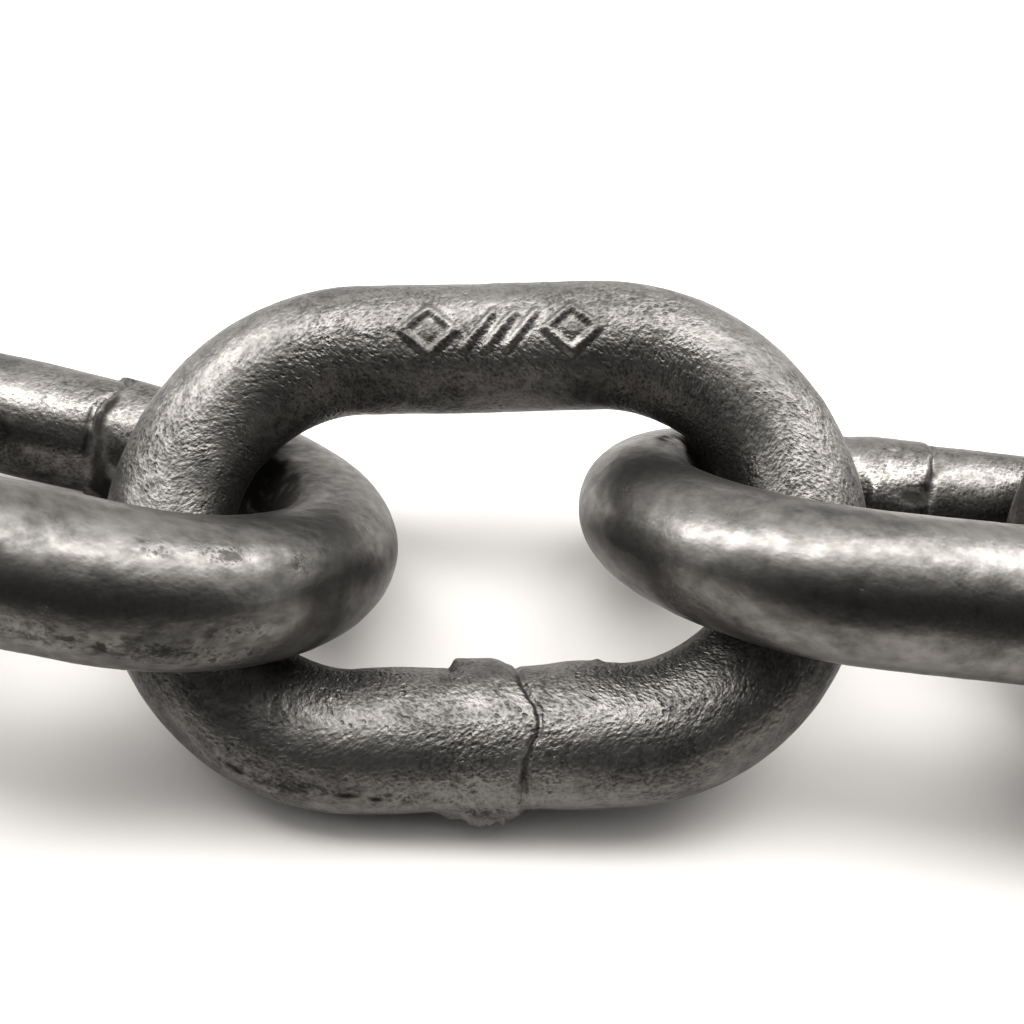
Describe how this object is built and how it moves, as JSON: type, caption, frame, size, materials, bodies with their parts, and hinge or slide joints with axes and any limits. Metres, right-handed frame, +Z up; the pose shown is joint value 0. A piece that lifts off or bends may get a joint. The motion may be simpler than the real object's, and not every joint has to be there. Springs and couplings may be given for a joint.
{
  "type": "length of welded steel chain",
  "caption": "Slack length of welded steel link chain: round-wire oval links hooked through each other, each with a butt-weld collar, laid in a loose loop.",
  "frame": {"origin": "on the floor under the middle of the laid-out loop", "axes": "+Z up from the floor; +X along the straight run, which lies on the +Y side; both free ends are on the -Y side"},
  "size_m": [0.4067, 0.2163, 0.0331],
  "materials": {
    "dark_steel": "self-coloured mill scale, satin, hammered and finely pitted"
  },
  "bodies": {
    "root": {"link_01": "dark_steel", "link_02": "dark_steel", "link_03": "dark_steel", "link_04": "dark_steel", "link_05": "dark_steel", "link_06": "dark_steel", "link_07": "dark_steel", "link_08": "dark_steel", "link_09": "dark_steel", "link_10": "dark_steel", "link_11": "dark_steel", "link_12": "dark_steel", "link_13": "dark_steel", "link_14": "dark_steel", "link_15": "dark_steel", "link_16": "dark_steel", "link_17": "dark_steel", "link_18": "dark_steel", "link_19": "dark_steel", "link_20": "dark_steel", "link_21": "dark_steel", "link_22": "dark_steel", "link_23": "dark_steel", "link_24": "dark_steel", "link_25": "dark_steel", "link_26": "dark_steel", "link_27": "dark_steel"}
  },
  "joints": []
}
